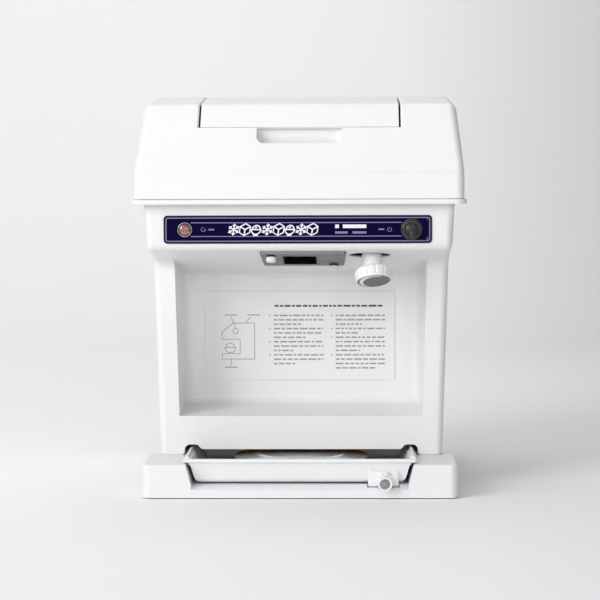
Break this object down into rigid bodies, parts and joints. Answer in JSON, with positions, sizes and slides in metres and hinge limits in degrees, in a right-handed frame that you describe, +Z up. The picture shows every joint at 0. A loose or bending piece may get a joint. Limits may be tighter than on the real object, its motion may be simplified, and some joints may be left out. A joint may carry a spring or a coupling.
{
  "type": "shaved ice machine",
  "caption": "White countertop machine that shaves ice cubes, with a hinged lid, an open serving niche, a blade adjusting knob and a pull-out drain pan.",
  "frame": {"origin": "on the surface the machine stands on, under the middle of its outer box", "axes": "+X to the right as the user sees the front, +Y to the back, +Z up"},
  "size_m": [0.348, 0.372, 0.4239],
  "materials": {
    "body_white": "satin moulded",
    "cover_white": "satin moulded",
    "base_white": "satin moulded",
    "pan_white": "glossy moulded",
    "knob_white": "glossy moulded",
    "knob_face_grey": "satin",
    "screw_white": "moulded head",
    "stainless": "brushed",
    "steel_plate": "zinc plated",
    "fastener_steel": "plated",
    "label_indigo": "printed film",
    "plate_print": "printed film",
    "black_rubber": "moulded",
    "chrome_ring": "polished",
    "red_plastic": "moulded",
    "clear_plastic": "clear moulded",
    "black_plastic": "moulded",
    "brown_panel": "laminate",
    "cast_aluminium": "cast",
    "bearing_steel": "ground",
    "brass": "turned",
    "motor_paint": "painted",
    "hopper_clear": "moulded"
  },
  "bodies": {
    "machine": {"base": "base_white", "rubber_feet": "black_rubber", "base_screws": "fastener_steel", "body_shell": "body_white", "rear_cover": "body_white", "rear_cover_screws": "fastener_steel", "bottom_cover": "brown_panel", "cord_gland": "black_rubber", "head_cover": "cover_white", "cover_flange": "cover_white", "lid_hinge_pins": "stainless", "head_cover_screws": "screw_white", "label_panel": "label_indigo", "instruction_plate": "plate_print", "toggle_boot_ring": "black_rubber", "toggle_switch_body": "black_plastic", "reset_ring": "chrome_ring", "reset_breaker": "black_plastic", "ice_outlet": "stainless", "outlet_duct": "black_plastic", "outlet_screws": "screw_white", "knob_collar": "knob_white", "drum_deck": "steel_plate", "shaving_case": "cast_aluminium", "shaving_case_screws": "fastener_steel", "bearing_housing": "cast_aluminium", "lower_bearing": "bearing_steel", "upper_bearing": "bearing_steel", "shaft_seal": "black_rubber", "motor": "motor_paint", "motor_bracket": "steel_plate", "motor_spacers": "fastener_steel", "motor_capacitor": "black_plastic", "drive_belt": "black_rubber", "ice_hopper": "hopper_clear"},
    "lid": {"lid": "cover_white"},
    "toggle": {"toggle_lever": "black_rubber"},
    "reset": {"reset_button": "red_plastic", "reset_dome": "clear_plastic"},
    "wing_rotor": {"rotary_wing": "cast_aluminium", "wing_fastening_nut": "brass", "main_shaft": "stainless", "main_pulley": "cast_aluminium"},
    "motor_rotor": {"motor_shaft": "bearing_steel", "motor_pulley": "cast_aluminium"},
    "knob": {"adjusting_knob": "knob_white", "knob_cap": "knob_face_grey", "adjusting_screw": "fastener_steel"},
    "blade_carriage": {"blade_fitting_plate": "steel_plate", "blade": "stainless", "blade_screws": "fastener_steel"},
    "pan": {"drain_pan": "pan_white", "drain_spout": "pan_white", "bowl_plate": "stainless"}
  },
  "joints": [
    {"name": "lid_hinge", "type": "hinge", "parent": "machine", "child": "lid", "pos_m": [0, 0.004, 0.4186], "axis": [-1, 0, 0], "range_deg": [0, 105]},
    {"name": "power_toggle", "type": "hinge", "parent": "machine", "child": "toggle", "pos_m": [0.117, -0.1593, 0.281], "axis": [-1, 0, 0], "range_deg": [0, 26]},
    {"name": "reset_press", "type": "slide", "parent": "machine", "child": "reset", "axis": [0, 1, 0], "range_m": [0, 0.0014], "stiffness_N_per_m": 600, "springref_m": -0.002},
    {"name": "wing_spin", "type": "hinge", "parent": "machine", "child": "wing_rotor", "pos_m": [0, -0.036, 0.3], "axis": [0, 0, 1], "continuous": true},
    {"name": "motor_spin", "type": "hinge", "parent": "machine", "child": "motor_rotor", "pos_m": [0, 0.089, 0.254], "axis": [0, 0, 1], "continuous": true},
    {"name": "knob_turn", "type": "hinge", "parent": "machine", "child": "knob", "pos_m": [0.078, -0.144, 0.2254], "axis": [-0.07, 0.4199, 0.9049], "range_deg": [-540, 540]},
    {"name": "blade_advance", "type": "slide", "parent": "machine", "child": "blade_carriage", "axis": [-0.07, 0.4199, 0.9049], "range_m": [-0.00187, 0.00187]},
    {"name": "pan_slide", "type": "slide", "parent": "machine", "child": "pan", "axis": [0, -1, 0], "range_m": [0, 0.185]}
  ],
  "couplings": [
    {"joint": "motor_spin", "follows": "wing_spin", "ratio": 3.6241},
    {"joint": "knob_turn", "follows": "blade_advance", "rad_per_m": 5026.6}
  ]
}
